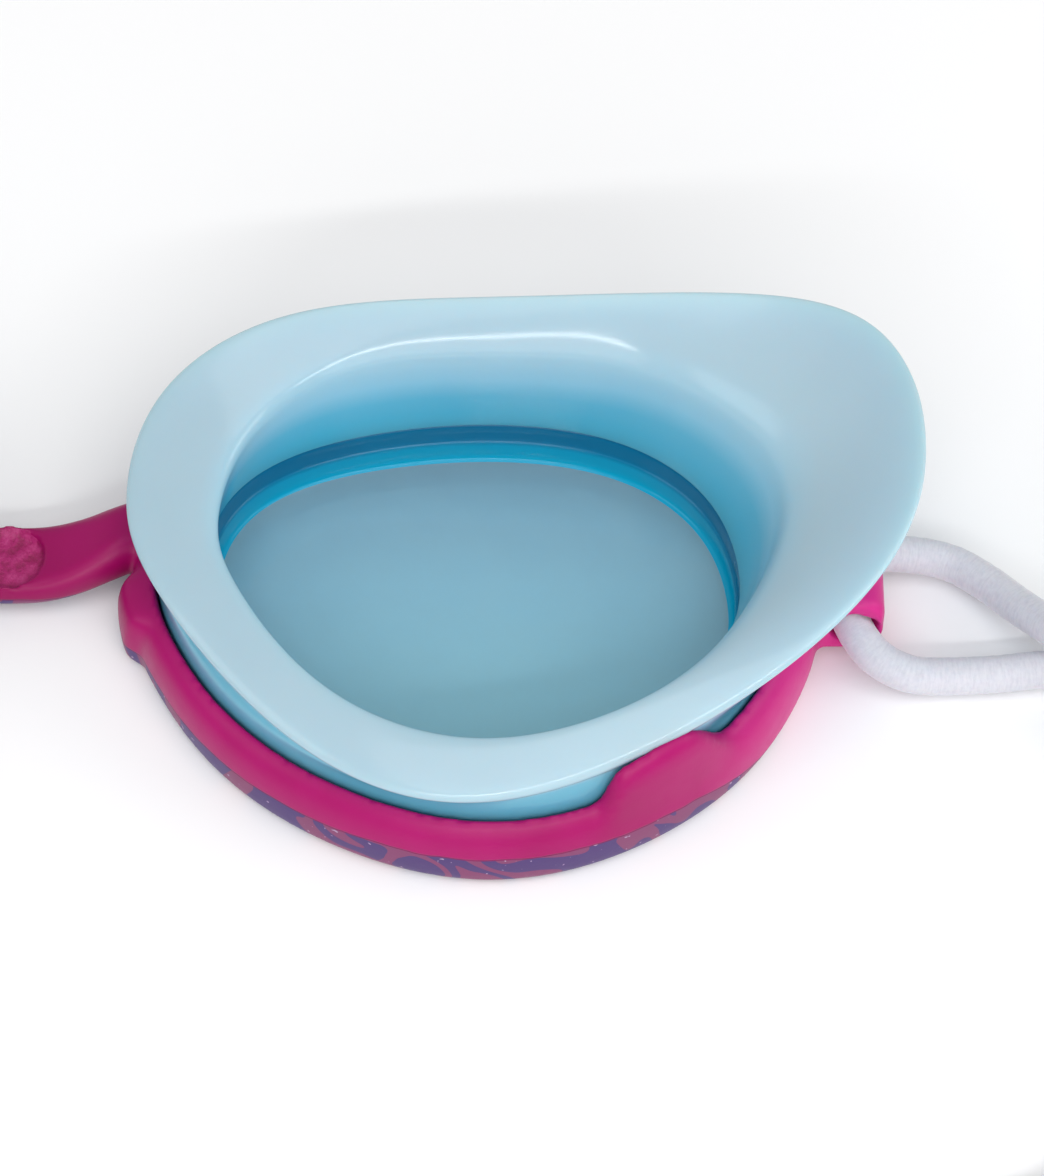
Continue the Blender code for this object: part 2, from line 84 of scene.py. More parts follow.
RIGHT_END = [(-10.8, -13.2, 2.3), (-11.1, -17.0, 2.3), (-11.8, -20.6, 2.6), (-12.5, -23.4, 3.4),
             (-12.95, -26.1, 4.05), (-13.0, -28.8, 4.15), (-13.0, -35.0, 4.15),
             (-13.0, -39.5, 4.15), (-13.0, -43.4, 4.15), (-12.1, -47.0, 3.6), (-9.2, -50.2, 2.4),
             (-4.5, -51.6, 1.5), (8.0, -51.6, 1.5), (28.0, -51.6, 1.5)]
LEFT_END = [(-28.0, -51.6, 1.5), (-23.0, -51.4, 2.2), (-17.9, -49.9, 4.6), (-14.3, -47.2, 6.8),
            (-13.0, -43.8, 7.5), (-13.0, -39.5, 7.5), (-13.0, -35.0, 7.5), (-13.0, -28.6, 7.5),
            (-13.2, -26.3, 7.35), (-14.2, -24.0, 6.4), (-15.5, -22.0, 4.7), (-16.3, -19.9, 3.1),
            (-17.0, -16.0, 2.4)]


# ---------------------------------------------------------------- curves and meshes

def closed_curve(stations, count):
    """Smooth closed curve through the stations, read at count even steps."""
    p = np.asarray(stations, float)
    m = len(p)
    lhs = np.zeros((m, m))
    for i in range(m):
        lhs[i, i] = 4.0
        lhs[i, (i - 1) % m] = 1.0
        lhs[i, (i + 1) % m] = 1.0
    slope = np.linalg.solve(lhs, 3.0 * (np.roll(p, -1, 0) - np.roll(p, 1, 0)))
    t = np.arange(count) * m / count
    i = t.astype(int)
    u = (t - i)[:, None]
    j = (i + 1) % m
    return ((2 * u**3 - 3 * u**2 + 1) * p[i] + (u**3 - 2 * u**2 + u) * slope[i]
            + (3 * u**2 - 2 * u**3) * p[j] + (u**3 - u**2) * slope[j])


def open_curve(points, per_span=24):
    """Smooth open curve through points, finely read."""
    p = np.asarray(points, float)
    gap = np.sqrt(np.linalg.norm(np.diff(p, axis=0), axis=1))
    knots = np.r_[0.0, np.cumsum(gap)]
    slope = np.zeros_like(p)
    for i in range(1, len(p) - 1):
        before = (p[i] - p[i - 1]) / gap[i - 1]
        after = (p[i + 1] - p[i]) / gap[i]
        slope[i] = (before * gap[i] + after * gap[i - 1]) / (gap[i] + gap[i - 1])
    slope[0] = (p[1] - p[0]) / gap[0]
    slope[-1] = (p[-1] - p[-2]) / gap[-1]
    out = []
    for i in range(len(p) - 1):
        h = knots[i + 1] - knots[i]
        for u in np.arange(per_span) / per_span:
            out.append((2 * u**3 - 3 * u**2 + 1) * p[i] + (u**3 - 2 * u**2 + u) * h * slope[i]
                       + (3 * u**2 - 2 * u**3) * p[i + 1] + (u**3 - u**2) * h * slope[i + 1])
    out.append(p[-1])
    return np.array(out)


def evenly(fine, step):
    """Reads a fine curve at even steps of about that length."""
    gap = np.linalg.norm(np.diff(fine, axis=0), axis=1)
    along = np.r_[0.0, np.cumsum(gap)]
    count = int(round(along[-1] / step))
    reads = np.linspace(0.0, along[-1], count + 1)
    return np.stack([np.interp(reads, along, fine[:, k]) for k in range(3)], axis=1)


def at_depth(depth, z, count):
    """The cup outline a stated depth in from the girth, at height z."""
    girth = closed_curve(GIRTH, count)
    flat = girth + (closed_curve(WINDOW, count) - girth) * (depth / RIM_WALL)
    return np.c_[flat, np.broadcast_to(z, count)]


def placed(points, side):
    """Moves a cup outline from its datum to the right (side 1) or mirrored left (side -1) cup."""
    p = np.array(points, float)
    p[:, 0] = side * (p[:, 0] + CUP_X)
    return p


def rounded(width, height, radius, steps=4):
    """Rounded rectangle about the origin, anticlockwise."""
    out = []
    for cx, cy, start in ((1, 1, 0), (-1, 1, 90), (-1, -1, 180), (1, -1, 270)):
        for k in range(steps + 1):
            a = math.radians(start + 90.0 * k / steps)
            out.append((cx * (width / 2 - radius) + radius * math.cos(a),
                        cy * (height / 2 - radius) + radius * math.sin(a)))
    return np.array(out)


def stack(sections):
    """Verts and faces of closed outlines joined in order, capped at both ends."""
    n = len(sections[0])
    verts = [tuple(v) for s in sections for v in s]
    faces = [list(range(n))[::-1]]
    for i in range(len(sections) - 1):
        for k in range(n):
            a = i * n + k
            b = i * n + (k + 1) % n
            faces.append([a, b, b + n, a + n])
    faces.append([(len(sections) - 1) * n + k for k in range(n)])
    return verts, faces


def hoop(sections):
    """Verts and faces of closed sections joined in order and back to the first."""
    n = len(sections[0])
    m = len(sections)
    verts = [tuple(v) for s in sections for v in s]
    faces = []
    for i in range(m):
        for k in range(n):
            far = ((i + 1) % m) * n
            faces.append([i * n + k, i * n + (k + 1) % n, far + (k + 1) % n, far + k])
    return verts, faces


def swap(rings):
    """Turns outlines round the cup into sections across it."""
    return [[ring[i] for ring in rings] for i in range(len(rings[0]))]


def tube(points, radius, sides):
    """Sections of a tube along points for stack(); the frame is carried without twist."""
    p = np.asarray(points, float)
    way = np.gradient(p, axis=0)
    way /= np.linalg.norm(way, axis=1)[:, None]
    up = np.array([0.0, 0.0, 1.0]) if abs(way[0][2]) < 0.9 else np.array([0.0, 1.0, 0.0])
    angles = np.arange(sides) * math.tau / sides
    sections = []
    for centre, d in zip(p, way):
        side = np.cross(d, up)
        side /= np.linalg.norm(side)
        up = np.cross(side, d)
        sections.append(centre + radius * (np.cos(angles)[:, None] * side
                                           + np.sin(angles)[:, None] * up))
    return sections


def make(name, verts, faces, mat=None, smooth_angle=None):
    """A mesh object with faces turned outwards and shaded smooth; positions in millimetres."""
    mesh = bpy.data.meshes.new(name)
    mesh.from_pydata([tuple(float(c) * MM for c in v) for v in verts], [], faces)
    bm = bmesh.new()
    bm.from_mesh(mesh)
    bmesh.ops.recalc_face_normals(bm, faces=bm.faces)
    bm.to_mesh(mesh)
    bm.free()
    mesh.polygons.foreach_set("use_smooth", [True] * len(mesh.polygons))
    if smooth_angle:
        mesh.set_sharp_from_angle(angle=math.radians(smooth_angle))
    obj = bpy.data.objects.new(name, mesh)
    bpy.context.collection.objects.link(obj)
    if mat:
        mesh.materials.append(mat)
    return obj


def subdivide(obj, levels):
    mod = obj.modifiers.new("subdivision", "SUBSURF")
    mod.levels = levels
    mod.render_levels = levels
    return obj


def settle(obj):
    """Applies an object's modifiers to its mesh."""
    graph = bpy.context.evaluated_depsgraph_get()
    mesh = bpy.data.meshes.new_from_object(obj.evaluated_get(graph))
    obj.modifiers.clear()
    obj.data = mesh
    return obj


def cut(obj, tool, operation="DIFFERENCE"):
    """Applies a boolean with a tool mesh and deletes the tool."""
    mod = obj.modifiers.new("boolean", "BOOLEAN")
    mod.operation = operation
    mod.solver = "EXACT"
    mod.object = tool
    settle(obj)
    bpy.data.objects.remove(tool, do_unlink=True)
    return obj


def joined(name, objects):
    """One object with all the meshes, which may overlap."""
    bm = bmesh.new()
    for obj in objects:
        bm.from_mesh(obj.data)
        bpy.data.objects.remove(obj, do_unlink=True)
    mesh = bpy.data.meshes.new(name)
    bm.to_mesh(mesh)
    bm.free()
    obj = bpy.data.objects.new(name, mesh)
    bpy.context.collection.objects.link(obj)
    return obj


def unwrap_grid(obj, per_ring, rows, wrap_rows):
    """UVs for a stack() or hoop() mesh: u round each section, v by section, before modifiers."""
    layer = obj.data.uv_layers.new(name="grid")
    for poly in obj.data.polygons:
        cols = [v % per_ring for v in poly.vertices]
        lines = [v // per_ring for v in poly.vertices]
        if len(poly.vertices) != 4:
            continue
        for loop, col, line in zip(poly.loop_indices, cols, lines):
            if col == 0 and per_ring - 1 in cols:
                col = per_ring
            if wrap_rows and line == 0 and rows - 1 in lines:
                line = rows
            layer.data[loop].uv = (col / per_ring, line / rows)


# ---------------------------------------------------------------- shader helpers

def node(tree, kind, inputs=None, **settings):
    """Adds a shader node; inputs maps socket names or numbers to values or to other sockets."""
    made = tree.nodes.new(kind)
    for key, value in settings.items():
        setattr(made, key, value)
    for key, value in (inputs or {}).items():
        if isinstance(value, bpy.types.NodeSocket):
            tree.links.new(value, made.inputs[key])
        else:
            made.inputs[key].default_value = value
    return made


def sums(tree, operation, a, b=0.0, clamp=False):
    return node(tree, "ShaderNodeMath", {0: a, 1: b}, operation=operation, use_clamp=clamp).outputs[0]


def ramp(tree, factor, stops, interpolation="LINEAR"):
    made = node(tree, "ShaderNodeValToRGB", {0: factor})
    made.color_ramp.interpolation = interpolation
    elements = made.color_ramp.elements
    while len(elements) < len(stops):
        elements.new(0.5)
    for element, (place, colour) in zip(elements, stops):
        element.position = place
        element.color = (*colour, 1.0)
    return made.outputs[0]


def blend_colour(tree, factor, a, b):
    """Mixes two colours, each a socket or an RGB tuple."""
    made = node(tree, "ShaderNodeMix", data_type="RGBA")
    for key, value in ((0, factor), (6, a), (7, b)):
        if isinstance(value, bpy.types.NodeSocket):
            tree.links.new(value, made.inputs[key])
        else:
            made.inputs[key].default_value = (*value, 1.0) if isinstance(value, tuple) else value
    return made.outputs[2]


def noise(tree, place, scale, detail=2.0, rough=0.5, distortion=0.0):
    return node(tree, "ShaderNodeTexNoise", {"Vector": place, "Scale": scale, "Detail": detail,
                "Roughness": rough, "Distortion": distortion}).outputs[0]


def bumped(tree, shader, height, distance, strength=1.0):
    made = node(tree, "ShaderNodeBump", {"Strength": strength, "Distance": distance, "Height": height})
    tree.links.new(made.outputs[0], shader.inputs["Normal"])


def surface(name, colour, roughness, **sockets):
    """A new Principled material: (material, tree, shader, object coordinates)."""
    mat = bpy.data.materials.new(name)
    mat.use_nodes = True
    tree = mat.node_tree
    shader = tree.nodes["Principled BSDF"]
    shader.inputs["Base Color"].default_value = (*colour, 1.0)
    shader.inputs["Roughness"].default_value = roughness
    for key, value in sockets.items():
        shader.inputs[key.replace("_", " ")].default_value = value
    place = node(tree, "ShaderNodeTexCoord").outputs["Object"]
    return mat, tree, shader, place


# ---------------------------------------------------------------- materials

PRINT_TOP_NOSE, PRINT_TOP_CHEEK = 2.0 * MM, 3.4 * MM    # height of the printed band's edge


def frame_material():
    """Magenta with a printed band low on the outside; painted light pales the temples, painted shade darkens
    the bridge.
    """
    mat, tree, shader, place = surface("magenta_moulding", (0.43, 0.005, 0.13), 0.38,
                                       Specular_IOR_Level=0.22, Subsurface_Weight=0.12,
                                       Subsurface_Scale=0.0015)
    shader.inputs["Subsurface Radius"].default_value = (1.0, 0.25, 0.45)
    cloud = noise(tree, place, 90.0, 3.0)
    base = blend_colour(tree, ramp(tree, cloud, [(0.35, (0, 0, 0)), (0.65, (1, 1, 1))]),
                        (0.325, 0.002, 0.103), (0.385, 0.004, 0.130))

    x, y, z = node(tree, "ShaderNodeSeparateXYZ", {0: place}).outputs
    cheek = sums(tree, "MULTIPLY", y, -1.0 / (21.0 * MM), clamp=True)
    edge = sums(tree, "MULTIPLY_ADD", cheek, PRINT_TOP_CHEEK - PRINT_TOP_NOSE)
    edge.node.inputs[2].default_value = PRINT_TOP_NOSE
    aside = sums(tree, "ABSOLUTE", x)
    # temple: 0 at 54 mm out, 1 at 63 mm; it drives the painted light at the temples and lowers the print's
    # edge there
    temple = sums(tree, "MULTIPLY", sums(tree, "SUBTRACT", aside, 54.0 * MM), 1.0 / (9.0 * MM), clamp=True)
    # middle: 1 at the bridge, 0 at 12 mm out; it drives the painted shade on the bridge
    middle = sums(tree, "SUBTRACT", 1.0, sums(tree, "MULTIPLY", aside, 1.0 / (12.0 * MM)), clamp=True)
    # Painted light makes the temples paler and painted shade makes the bridge darker.
    base = blend_colour(tree, temple, base, (0.62, 0.025, 0.235))
    base = blend_colour(tree, middle, base, (0.275, 0.002, 0.086))
    edge = sums(tree, "SUBTRACT", edge, sums(tree, "MULTIPLY", temple, 3.0 * MM))
    wander = sums(tree, "MULTIPLY", sums(tree, "SUBTRACT", noise(tree, place, 260.0), 0.5), 0.5 * MM)
    below = sums(tree, "ADD", sums(tree, "SUBTRACT", edge, z), wander)
    printed = sums(tree, "MULTIPLY", below, 1.0 / (0.12 * MM), clamp=True)
    line = sums(tree, "SUBTRACT", 1.0, sums(tree, "MULTIPLY", sums(tree, "ABSOLUTE", below),
                                          1.0 / (0.11 * MM)), clamp=True)

    stroke_field = noise(tree, place, 120.0, 1.2, 0.4, 0.9)
    strokes = ramp(tree, stroke_field, [(0.0, (0, 0, 0)), (0.37, (1, 1, 1)), (0.46, (0, 0, 0)),
                                        (0.54, (1, 1, 1)), (0.64, (0, 0, 0))], "CONSTANT")
    ink = blend_colour(tree, strokes, (0.215, 0.050, 0.135), (0.078, 0.042, 0.160))
    # Pale specks in the printed band are painted glints.
    painted_glint_specks = ramp(tree, noise(tree, place, 2600.0, 0.0), [(0.78, (0, 0, 0)), (0.83, (1, 1, 1))])
    ink = blend_colour(tree, painted_glint_specks, ink, (0.42, 0.30, 0.45))
    colour = blend_colour(tree, printed, base, ink)
    colour = blend_colour(tree, sums(tree, "MULTIPLY", line, 0.75), colour, (0.10, 0.006, 0.06))
    tree.links.new(colour, shader.inputs["Base Color"])
    rough = node(tree, "ShaderNodeMapRange", {"Value": noise(tree, place, 900.0, 4.0),
                 "To Min": 0.30, "To Max": 0.46})
    tree.links.new(rough.outputs[0], shader.inputs["Roughness"])
    grain = noise(tree, place, 3500.0, 3.0)
    height = sums(tree, "SUBTRACT", sums(tree, "MULTIPLY", grain, 0.25), line)
    bumped(tree, shader, height, 0.035 * MM, 0.6)
    return mat


def gate_material():
    mat, tree, shader, place = surface("torn_gate", (0.50, 0.012, 0.16), 0.5)
    lumps = noise(tree, place, 900.0, 5.0, 0.65)
    colour = ramp(tree, lumps, [(0.38, (0.26, 0.002, 0.075)), (0.52, (0.37, 0.006, 0.125)),
                                (0.68, (0.46, 0.03, 0.18))])
    tree.links.new(colour, shader.inputs["Base Color"])
    bumped(tree, shader, lumps, 0.35 * MM, 0.9)
    return mat


def gasket_material():
    """Soft translucent moulding, pale at the lip; painted shade deepens the blue in the bowl and on the
    skirt.

    The tint follows the grid map's u, which runs across the section.
    """
    mat, tree, shader, place = surface("soft_blue_gasket", (0.45, 0.66, 0.76), 0.24,
                                       Subsurface_Weight=0.45, Subsurface_Scale=0.004, IOR=1.43)
    shader.inputs["Subsurface Radius"].default_value = (0.35, 0.8, 1.0)
    grid = node(tree, "ShaderNodeUVMap", uv_map="grid").outputs[0]
    u = node(tree, "ShaderNodeSeparateXYZ", {0: grid}).outputs[0]
    # The ramp carries painted shade: deeper blue down in the bowl and on the skirt.
    colour = ramp(tree, u, GASKET_TINT_AND_PAINTED_SHADE)
    cloud = noise(tree, place, 60.0, 2.0)
    colour = blend_colour(tree, sums(tree, "MULTIPLY", cloud, 0.16), colour, (0.70, 0.86, 0.92))
    tree.links.new(colour, shader.inputs["Base Color"])
    rough = node(tree, "ShaderNodeMapRange", {"Value": noise(tree, place, 500.0, 3.0),
                 "To Min": 0.11, "To Max": 0.17})
    tree.links.new(rough.outputs[0], shader.inputs["Roughness"])
    bumped(tree, shader, noise(tree, place, 1500.0, 3.0), 0.012 * MM, 0.35)
    return mat


def window_material():
    """Clear blue; painted reflection and shade make it a little greyer and deeper towards the brow side."""
    mat, tree, shader, place = surface("lens_window", (0.50, 0.86, 1.0), 0.03,
                                       Transmission_Weight=0.62, IOR=1.45)
    haze = noise(tree, place, 300.0, 3.0)
    rough = node(tree, "ShaderNodeMapRange", {"Value": haze, "To Min": 0.02, "To Max": 0.07})
    tree.links.new(rough.outputs[0], shader.inputs["Roughness"])
    y = node(tree, "ShaderNodeSeparateXYZ", {0: place}).outputs[1]
    across = node(tree, "ShaderNodeMapRange", {"Value": y, "From Min": -16.0 * MM, "From Max": 17.0 * MM})
    # Painted reflection and shade: greyer and deeper towards the brow side.
    tint = ramp(tree, across.outputs[0], [(0.0, (0.50, 0.90, 1.0)), (0.6, (0.46, 0.80, 0.95)),
                                          (1.0, (0.37, 0.60, 0.74))])
    tint = blend_colour(tree, sums(tree, "MULTIPLY", haze, 0.2), tint, (0.62, 0.95, 1.0))
    tree.links.new(tint, shader.inputs["Base Color"])
    return mat


def wall_material():
    mat, tree, shader, place = surface("lens_wall", (0.0, 0.13, 0.30), 0.14,
                                       Transmission_Weight=0.15, IOR=1.5, Specular_IOR_Level=0.25)
    z = node(tree, "ShaderNodeSeparateXYZ", {0: place}).outputs[2]
    height = node(tree, "ShaderNodeMapRange", {"Value": z, "From Min": 3.2 * MM, "From Max": 7.2 * MM})
    # Painted reflection: the lower band is brighter blue, as if it mirrored the window; higher up the wall
    # is deep blue.
    colour = ramp(tree, height.outputs[0], [(0.0, (0.0, 0.39, 0.62)), (0.40, (0.0, 0.35, 0.57)),
                                            (0.52, (0.0, 0.15, 0.31)), (1.0, (0.0, 0.125, 0.27))])
    streak = noise(tree, place, 120.0, 2.0)
    colour = blend_colour(tree, sums(tree, "MULTIPLY", streak, 0.2), colour, (0.0, 0.33, 0.55))
    tree.links.new(colour, shader.inputs["Base Color"])
    return mat


def cord_material():
    mat, tree, shader, place = surface("braided_cord", (0.78, 0.78, 0.83), 0.85,
                                       Sheen_Weight=0.5, Sheen_Roughness=0.5,
                                       Subsurface_Weight=0.15, Subsurface_Scale=0.0008)
    grid = node(tree, "ShaderNodeUVMap", uv_map="grid").outputs[0]
    spread = node(tree, "ShaderNodeMapping", {"Vector": grid, "Scale": (9.0, CORD_LENGTH_MM * 4.5, 1.0)})
    thread = noise(tree, spread.outputs[0], 1.0, 3.0, 0.6, 0.3)
    fuzz = noise(tree, place, 2600.0, 4.0, 0.7)
    shade = sums(tree, "ADD", sums(tree, "MULTIPLY", thread, 0.6), sums(tree, "MULTIPLY", fuzz, 0.4))
    colour = ramp(tree, shade, [(0.34, (0.54, 0.54, 0.605)), (0.52, (0.61, 0.61, 0.665)),
                                (0.70, (0.66, 0.66, 0.71))])
    tree.links.new(colour, shader.inputs["Base Color"])
    bumped(tree, shader, shade, 0.06 * MM, 0.6)
    return mat


def gloss_plastic(name, colour, lighter):
    mat, tree, shader, place = surface(name, colour, 0.28, Coat_Weight=0.25, Coat_Roughness=0.1)
    tone = noise(tree, place, 140.0, 2.0)
    tree.links.new(blend_colour(tree, tone, colour, lighter), shader.inputs["Base Color"])
    rough = node(tree, "ShaderNodeMapRange", {"Value": noise(tree, place, 1200.0, 4.0),
                 "To Min": 0.22, "To Max": 0.42})
    tree.links.new(rough.outputs[0], shader.inputs["Roughness"])
    bumped(tree, shader, noise(tree, place, 2800.0, 3.0), 0.02 * MM, 0.5)
    return mat


def steel_material():
    mat, tree, shader, place = surface("spring_wire", (0.56, 0.57, 0.58), 0.25, Metallic=1.0)
    rough = node(tree, "ShaderNodeMapRange", {"Value": noise(tree, place, 2200.0, 3.0),
                 "To Min": 0.18, "To Max": 0.38})
    tree.links.new(rough.outputs[0], shader.inputs["Roughness"])
    return mat


def floor_material():
    mat, tree, shader, place = surface("pale_floor", (0.93, 0.93, 0.935), 0.6)
    tone = noise(tree, place, 3.0, 2.0)
    tree.links.new(blend_colour(tree, tone, (0.925, 0.925, 0.93), (0.94, 0.94, 0.945)),
                   shader.inputs["Base Color"])
    return mat


# ---------------------------------------------------------------- stage, camera and light

VIEW_ELEVATION = 55.0
VIEW_DISTANCE = 380.0
VIEW_TARGET = (40.7, 0.0, 8.0)
VIEW_LENS = 169.0       # with a sensor 36 wide


def build_stage():
    half, z = 1500.0, -0.02
    corners = [(-half, -half, z), (half, -half, z), (half, half, z), (-half, half, z)]
    floor = make("floor", corners, [[0, 1, 2, 3]], floor_material())


def build_camera():
    data = bpy.data.cameras.new("view")
    data.sensor_fit = "HORIZONTAL"
    data.sensor_width = 36.0
    data.lens = VIEW_LENS
    data.clip_start = 0.01
    camera = bpy.data.objects.new("view", data)
    bpy.context.collection.objects.link(camera)
    rise = math.radians(VIEW_ELEVATION)
    back = Vector((0.0, -math.cos(rise), math.sin(rise)))
    camera.location = (Vector(VIEW_TARGET) + back * VIEW_DISTANCE) * MM
    camera.rotation_euler = back.to_track_quat("Z", "Y").to_euler()
    bpy.context.scene.camera = camera


def area_light(name, place, aim, size, power):
    data = bpy.data.lights.new(name, "AREA")
    data.shape = "RECTANGLE"
    data.size, data.size_y = size[0] * MM, size[1] * MM
    data.energy = power
    light = bpy.data.objects.new(name, data)
    bpy.context.collection.objects.link(light)
    light.location = Vector(place) * MM
    way = Vector(aim) - Vector(place)
    light.rotation_euler = way.to_track_quat("-Z", "Y").to_euler()


def build_light():
    world = bpy.data.worlds.new("studio")
    bpy.context.scene.world = world
    world.use_nodes = True
    backdrop = world.node_tree.nodes["Background"]
    backdrop.inputs[0].default_value = (1.0, 1.0, 1.0, 1.0)
    backdrop.inputs[1].default_value = 0.46
    sky = bpy.data.lights.new("broad_key", "SUN")
    sky.energy = 1.05
    sky.angle = math.radians(55)
    key = bpy.data.objects.new("broad_key", sky)
    bpy.context.collection.objects.link(key)
    key.rotation_euler = Vector((0.12, -0.30, 0.95)).to_track_quat("Z", "Y").to_euler()
    area_light("strip_key", (120, -462, 372), (45, 0, 8), (570, 26), 1.0)
    area_light("front_fill", (40, -520, 210), (30, 0, 5), (520, 260), 0.62)
    area_light("left_fill", (-420, -160, 300), (30, 0, 0), (300, 300), 0.45)
    area_light("right_fill", (520, -80, 260), (40, 0, 0), (300, 260), 0.62)
    view = bpy.context.scene.view_settings
    view.view_transform = "Standard"
    view.look = "None"


# ---------------------------------------------------------------- elastic cord

CORD_SIDES = 32
CORD_STEP = 0.5
BRAID_CARRIERS = 8      # strands each way round the cord
BRAID_LEAD = 9.5        # length of one turn of a strand
BRAID_RISE = 0.055


def cord_route():
    """Centre line of the whole cord, end to end."""
    def mirror(points):
        return [(-x, y, z) for x, y, z in reversed(points)]

    turn = EYELET_TURN[::-1]
    back = OUTER_SIDE + [(0.0, -55.2, 1.5)] + mirror(OUTER_SIDE)
    return (RIGHT_END + INNER_SIDE + turn + back
            + mirror(turn) + mirror(INNER_SIDE) + LEFT_END)


def braid(around, along):
    """Height of the braid's surface: strands of the two hands pass over and under by turns."""
    right = BRAID_CARRIERS * around / math.tau + BRAID_CARRIERS * along / BRAID_LEAD
    left = BRAID_CARRIERS * around / math.tau - BRAID_CARRIERS * along / BRAID_LEAD
    over = 0.5 + 0.5 * np.sin(math.pi * (right + left)) * np.sin(math.pi * (right - left))
    crown_right = np.abs(np.sin(math.pi * right))
    crown_left = np.abs(np.sin(math.pi * left))
    return over * crown_right + (1.0 - over) * crown_left


CORD_POINTS = evenly(open_curve(cord_route()), CORD_STEP)
CORD_POINTS[:, 2] = np.maximum(CORD_POINTS[:, 2], CORD_R)
CORD_LENGTH_MM = float(np.linalg.norm(np.diff(CORD_POINTS, axis=0), axis=1).sum())


def build_cord():
    sections = tube(CORD_POINTS, 1.0, CORD_SIDES)
    angles = np.arange(CORD_SIDES) * math.tau / CORD_SIDES
    shaped = []
    for i, (centre, ring) in enumerate(zip(CORD_POINTS, sections)):
        radius = CORD_R - BRAID_RISE + BRAID_RISE * braid(angles, i * CORD_STEP)
        shaped.append(centre + (ring - centre) * radius[:, None])
    cord = make("cord_braid", *stack(shaped), cord_material())
    unwrap_grid(cord, CORD_SIDES, len(shaped) - 1, False)
    return cord


# ---------------------------------------------------------------- frame

RING_STATIONS = 288
RING_SECTION = [(1.2, 0.0), (0.5, 0.04), (0.08, 0.5), (0.0, 1.3), (0.0, 2.4), (0.06, 3.4),
                (0.25, 4.4), (0.55, 5.2), (0.95, 5.75), (1.4, 6.2), (1.8, 6.4), (2.05, 6.2),
                (2.1, 5.6), (1.9, 4.7), (1.9, 1.3), (3.2, 1.15), (3.6, 0.9), (3.5, 0.15), (3.1, 0.0)]
EAR_AT, EAR_HALF = 6.32, 0.36   # ear of the ring below the bridge, in stations round it
EAR_OUT = 1.0
EAR_WITHIN = 1.3        # rows shallower than this move out with the ear
TAB_FROM, TAB_TO = 9.50, 10.36  # raised tab, in stations round the ring
TAB_RISE = 4.4
TAB_ABOVE = 5.0         # rows higher than this rise with the tab
BRIDGE = [(0.0, 6.3, 2.05, 3.3, 1.35), (3.2, 6.3, 2.3, 3.25, 1.4), (6.0, 6.7, 2.9, 3.1, 1.7),
          (8.4, 7.5, 3.4, 2.9, 2.15), (10.2, 8.2, 3.5, 2.8, 2.2), (12.5, 8.6, 3.5, 2.8, 2.2)]
GATE_R, GATE_DEPTH = 2.95, 0.85
GATE_SQUEEZE = 0.97
GATE_TOP = BRIDGE[0][2] + BRIDGE[0][4]
POCKET_DEPTH = 1.1
EYELET_X, EYELET_Y, EYELET_Z = (61.0, 69.0), (-0.9, 4.9), (0.8, 6.9)
EYELET_BORE_R = 1.85
VOXEL = 0.30


def ease(x):
    """Smooth step from 0 to 1."""
    x = np.clip(x, 0.0, 1.0)
    return x * x * (3.0 - 2.0 * x)


def ring_mesh(side):
    t = np.arange(RING_STATIONS) * len(GIRTH) / RING_STATIONS
    girth = closed_curve(GIRTH, RING_STATIONS)
    out = girth - closed_curve(WINDOW, RING_STATIONS)
    out /= np.linalg.norm(out, axis=1)[:, None]
    rise = (TAB_RISE * ease((t - TAB_FROM) / 0.11) * (0.8 + 0.2 * ease((t - TAB_FROM) / 0.4))
            * ease((TAB_TO - t) / 0.38))
    ear = EAR_OUT * ease((EAR_HALF - np.abs(t - EAR_AT)) / 0.16)
    rings = []
    for depth, z in RING_SECTION:
        ring = at_depth(depth, z + rise if z > TAB_ABOVE else z, RING_STATIONS)
        if depth < EAR_WITHIN:
            ring[:, :2] += out * ear[:, None]
        rings.append(placed(ring, side))
    return settle(subdivide(make(f"ring_{side}", *hoop(swap(rings))), 1))


def gate_outline(radius, z):
    """The gate mark's outline in the middle of the bridge, a little narrower along Y."""
    return [(radius * math.cos(a), BRIDGE[0][1] + GATE_SQUEEZE * radius * math.sin(a), z)
            for a in np.arange(48) * math.tau / 48]


def pocket_tool(side):
    """Cutter that clears the inside of one ring."""
    return make("pocket", *stack([placed(at_depth(POCKET_DEPTH, z, 96), side) for z in (-2.0, 25.0)]))


def bridge_mesh():
    full = [(-x, *rest) for x, *rest in reversed(BRIDGE[1:])] + BRIDGE
    fine = evenly_rows(full, 36)
    sections = [[(x, y + a, z + b) for a, b in rounded(2 * h, 2 * t, 0.85 * t, 8)]
                for x, y, z, h, t in fine]
    band = make("band", *stack(sections))
    for side in (1, -1):
        cut(band, pocket_tool(side))
    collar = [gate_outline(GATE_R + 0.2, GATE_TOP - 0.9), gate_outline(GATE_R + 0.22, GATE_TOP - 0.25),
              gate_outline(GATE_R + 0.12, GATE_TOP + 0.12), gate_outline(GATE_R - 0.3, GATE_TOP + 0.12)]
    cut(band, make("collar", *stack(collar)), "UNION")
    recess = [gate_outline(GATE_R, GATE_TOP - GATE_DEPTH), gate_outline(GATE_R, GATE_TOP + 3.0)]
    return cut(band, make("recess", *stack(recess)))


def evenly_rows(rows, count):
    """Reads a list of number rows at count even places, smoothly."""
    fine = open_curve(rows, 12)
    place = np.linspace(0, len(fine) - 1, count)
    base = np.arange(len(fine))
    return np.stack([np.interp(place, base, fine[:, k]) for k in range(fine.shape[1])], axis=1)


